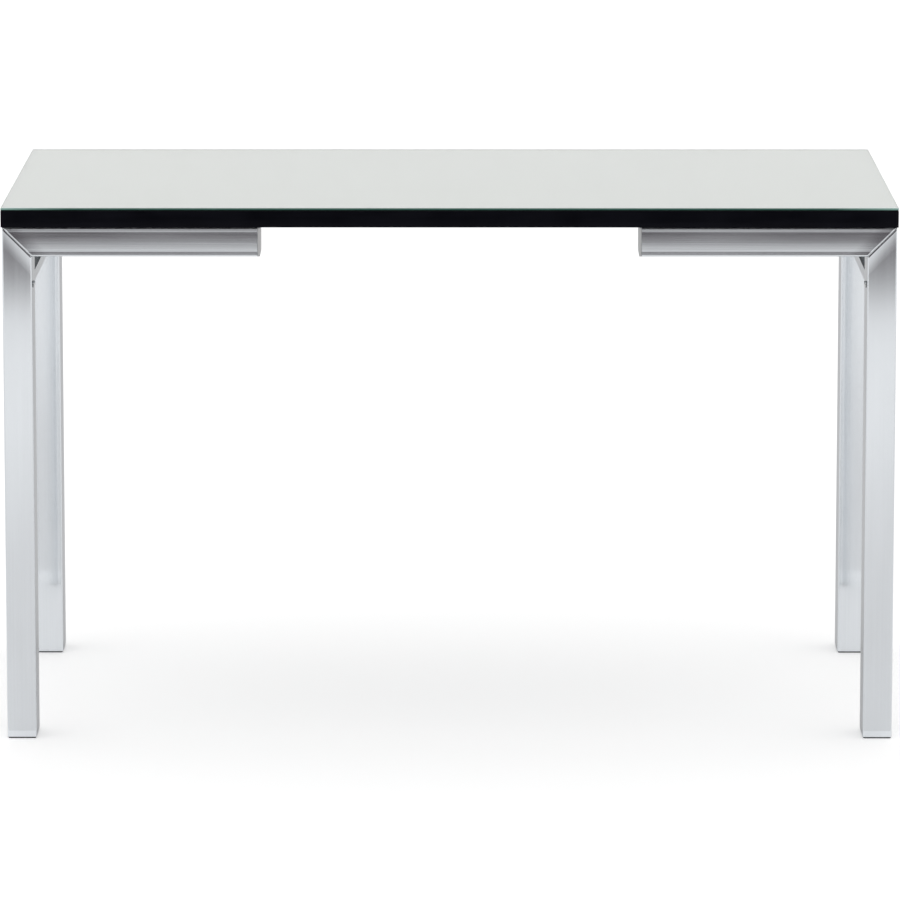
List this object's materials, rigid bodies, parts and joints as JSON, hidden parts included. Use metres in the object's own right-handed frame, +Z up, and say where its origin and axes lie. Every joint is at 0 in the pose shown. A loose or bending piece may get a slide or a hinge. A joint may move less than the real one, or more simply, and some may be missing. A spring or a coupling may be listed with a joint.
{
  "type": "console table",
  "caption": "Rectangular table with a pale glass-topped black board on corner legs and short mitred arms of aluminium box section.",
  "frame": {"origin": "on the floor under the middle of the table top", "axes": "+X along the table top, -Y towards the front edge, +Z up"},
  "size_m": [1.2, 0.655, 0.724],
  "materials": {
    "glass": "clear, polished, faint green",
    "film": "pale opaque film",
    "board": "black melamine face",
    "edge_band": "satin black, faint lengthwise grain",
    "frame": "satin silver anodised, fine lengthwise lines",
    "key": "sawn and milled",
    "cap": "satin moulded light grey",
    "foot": "moulded black",
    "rail": "satin silver anodised",
    "bolt": "bright zinc plated",
    "insert": "turned"
  },
  "bodies": {
    "root": {"glass_pane": "glass", "backing_film": "film", "board": "board", "edge_band_front": "edge_band", "edge_band_back": "edge_band", "edge_band_left": "edge_band", "edge_band_right": "edge_band", "leg_front_left": "frame", "leg_front_right": "frame", "leg_back_left": "frame", "leg_back_right": "frame", "arm_front_left": "frame", "arm_front_right": "frame", "arm_back_left": "frame", "arm_back_right": "frame", "key_front_left": "key", "key_front_right": "key", "key_back_left": "key", "key_back_right": "key", "cap_front_left": "cap", "cap_front_right": "cap", "cap_back_left": "cap", "cap_back_right": "cap", "foot_front_left": "foot", "foot_front_right": "foot", "foot_back_left": "foot", "foot_back_right": "foot", "end_rail_left": "rail", "end_rail_right": "rail", "leg_bolts": "bolt", "arm_bolts": "bolt", "board_screws": "bolt", "board_inserts": "insert"}
  },
  "joints": []
}
